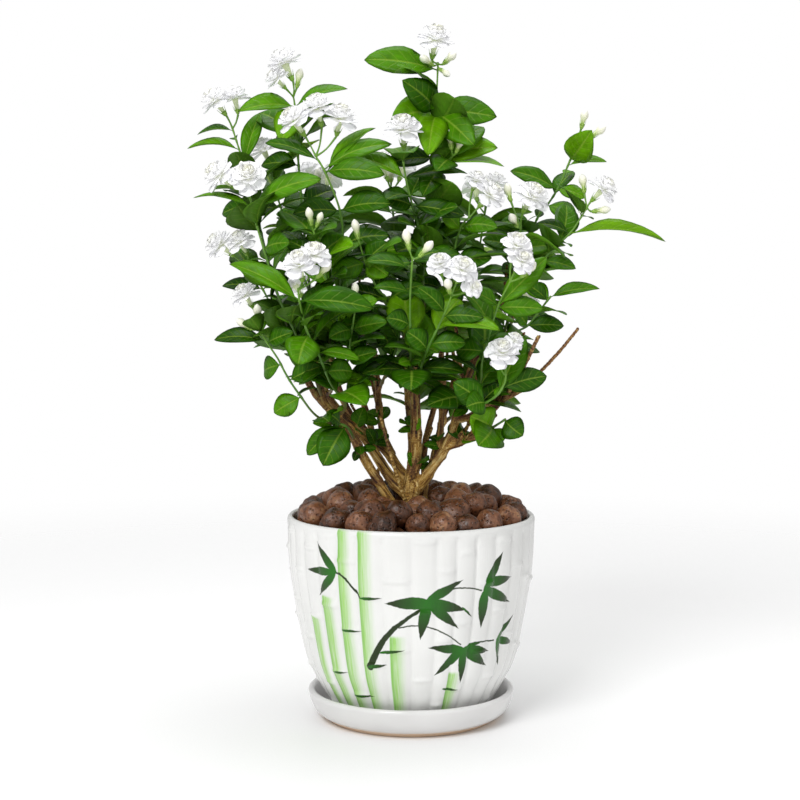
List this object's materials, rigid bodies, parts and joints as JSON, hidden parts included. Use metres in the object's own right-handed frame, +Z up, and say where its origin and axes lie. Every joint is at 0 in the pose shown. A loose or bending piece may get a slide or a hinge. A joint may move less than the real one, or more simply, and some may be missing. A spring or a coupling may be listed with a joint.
{
  "type": "potted jasmine plant",
  "caption": "Double-flowered jasmine bush with glossy leaf pairs and white blooms, in a fluted white pot with painted bamboo, on its saucer.",
  "frame": {"origin": "centre of the saucer's flat underside, which stands on the surface", "axes": "+Z up along the pot's axis, +X to the right and -Y towards the viewer, who faces the painted side of the pot"},
  "size_m": [0.3246, 0.2386, 0.4703],
  "materials": {
    "saucer_glaze": "gloss",
    "pot_glaze": "gloss",
    "potting_soil": "matte",
    "fired_clay": "matte",
    "bark": "matte",
    "foliage": "satin",
    "petals": "matte"
  },
  "bodies": {
    "root": {"blooms_back_left_top": "petals", "blooms_centre_bloom": "petals", "blooms_crown": "petals", "blooms_front_centre": "petals", "blooms_front_left": "petals", "blooms_front_right": "petals", "blooms_high_left": "petals", "blooms_inner_right": "petals", "blooms_low_left": "petals", "blooms_low_right": "petals", "blooms_mid_left": "petals", "blooms_pair_left": "petals", "blooms_reach_right": "petals", "blooms_rear_centre": "petals", "blooms_rear_left": "petals", "blooms_rear_left_low": "petals", "blooms_rear_low": "petals", "blooms_rear_right": "petals", "blooms_rear_right_low": "petals", "blooms_sail_left": "petals", "blooms_top_right": "petals", "blooms_twins_left": "petals", "clay_pebbles": "fired_clay", "pot": "pot_glaze", "saucer": "saucer_glaze", "shoot_back_left_top": "foliage", "shoot_bottom_left": "foliage", "shoot_branch_left": "foliage", "shoot_bud_left": "foliage", "shoot_centre_bloom": "foliage", "shoot_centre_buds": "foliage", "shoot_centre_left": "foliage", "shoot_crown": "foliage", "shoot_cut_right": "foliage", "shoot_front_centre": "foliage", "shoot_front_left": "foliage", "shoot_front_right": "foliage", "shoot_high_left": "foliage", "shoot_inner_back": "foliage", "shoot_inner_right": "foliage", "shoot_low_left": "foliage", "shoot_low_right": "foliage", "shoot_mid_left": "foliage", "shoot_pair_left": "foliage", "shoot_reach_right": "foliage", "shoot_rear_centre": "foliage", "shoot_rear_left": "foliage", "shoot_rear_left_low": "foliage", "shoot_rear_low": "foliage", "shoot_rear_right": "foliage", "shoot_rear_right_low": "foliage", "shoot_round_right": "foliage", "shoot_sail_left": "foliage", "shoot_spire_right": "foliage", "shoot_tail_right": "foliage", "shoot_top_right": "foliage", "shoot_twins_left": "foliage", "soil": "potting_soil", "trunk": "bark"}
  },
  "joints": []
}
